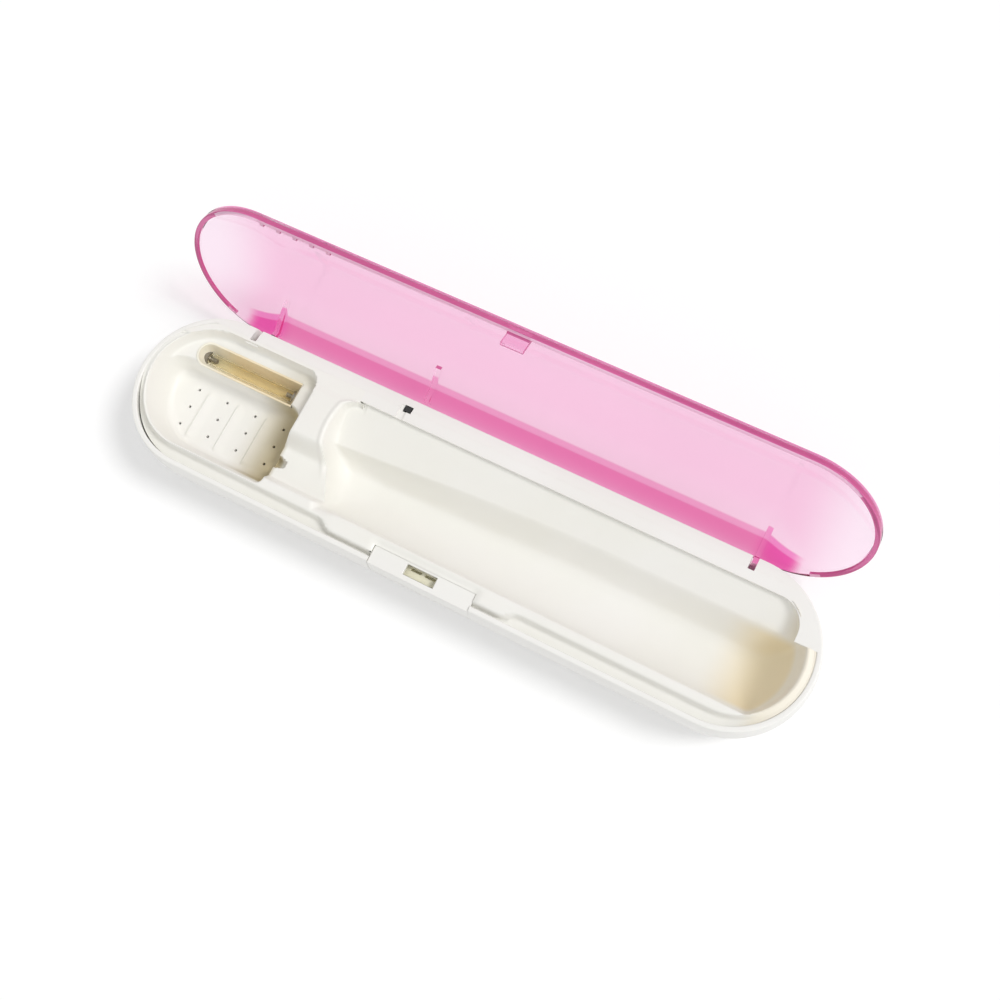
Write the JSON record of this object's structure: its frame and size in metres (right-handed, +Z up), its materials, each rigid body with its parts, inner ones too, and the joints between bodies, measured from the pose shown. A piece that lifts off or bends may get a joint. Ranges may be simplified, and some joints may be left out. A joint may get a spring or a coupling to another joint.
{
  "type": "uv toothbrush steriliser case",
  "caption": "Capsule-shaped travel case for a toothbrush, with a lamp by the brush head and a clear hinged lid that latches at the front.",
  "frame": {"origin": "middle of the casing's flat bottom", "axes": "+X along the case from the brush head to the handle end, -Y the front with the latch button, +Z up"},
  "size_m": [0.2216, 0.0758, 0.0526],
  "materials": {
    "white_plastic": "satin white",
    "tray_plastic": "satin warm white",
    "pink_clear_plastic": "clear pink, polished",
    "lamp_glass": "clear",
    "lamp_cap_metal": "dull",
    "reflector_lining": "satin tan",
    "bright_metal": "bright",
    "steel": "plain",
    "acetal": "yellowish, satin",
    "black_plastic": "matte",
    "board_green": "solder mask",
    "ferrite_and_copper": "varnished winding",
    "cell_sleeve": "plain sleeve",
    "capacitor_sleeve": "plain sleeve"
  },
  "bodies": {
    "base": {"lower_casing": "white_plastic", "inner_tray": "tray_plastic", "hinge_pin_left": "steel", "hinge_pin_right": "steel", "latch_guide": "acetal", "latch_spring_left": "steel", "latch_spring_right": "steel", "uv_lamp_tube": "lamp_glass", "lamp_cap_left": "lamp_cap_metal", "lamp_cap_right": "lamp_cap_metal", "lamp_reflector": "reflector_lining", "switch_body": "black_plastic", "circuit_board": "board_green", "inverter_transformer": "ferrite_and_copper", "timer_chip": "black_plastic", "capacitor": "capacitor_sleeve", "battery_1": "cell_sleeve", "battery_2": "cell_sleeve", "battery_spring": "bright_metal", "battery_contact": "bright_metal", "case_screw_1": "steel", "case_screw_2": "steel", "case_screw_3": "steel"},
    "lid": {"lid_shell": "pink_clear_plastic"},
    "button": {"latch_button": "white_plastic"},
    "plunger": {"switch_plunger": "black_plastic"},
    "door": {"battery_door": "white_plastic"}
  },
  "joints": [
    {"name": "lid_hinge", "type": "hinge", "parent": "base", "child": "lid", "pos_m": [0, 0.0209, 0.0138], "axis": [1, 0, 0], "range_deg": [0, 112.5]},
    {"name": "latch_push", "type": "slide", "parent": "base", "child": "button", "axis": [0, 1, 0], "range_m": [0, 0.001], "stiffness_N_per_m": 500, "springref_m": -0.001, "deforming": ["latch_spring_left", "latch_spring_right"]},
    {"name": "plunger_push", "type": "slide", "parent": "base", "child": "plunger", "axis": [0, 0, -1], "range_m": [0, 0.0006], "stiffness_N_per_m": 300, "springref_m": -0.0005},
    {"name": "door_pull", "type": "slide", "parent": "base", "child": "door", "axis": [0, 0, -1], "range_m": [0, 0.03]}
  ]
}
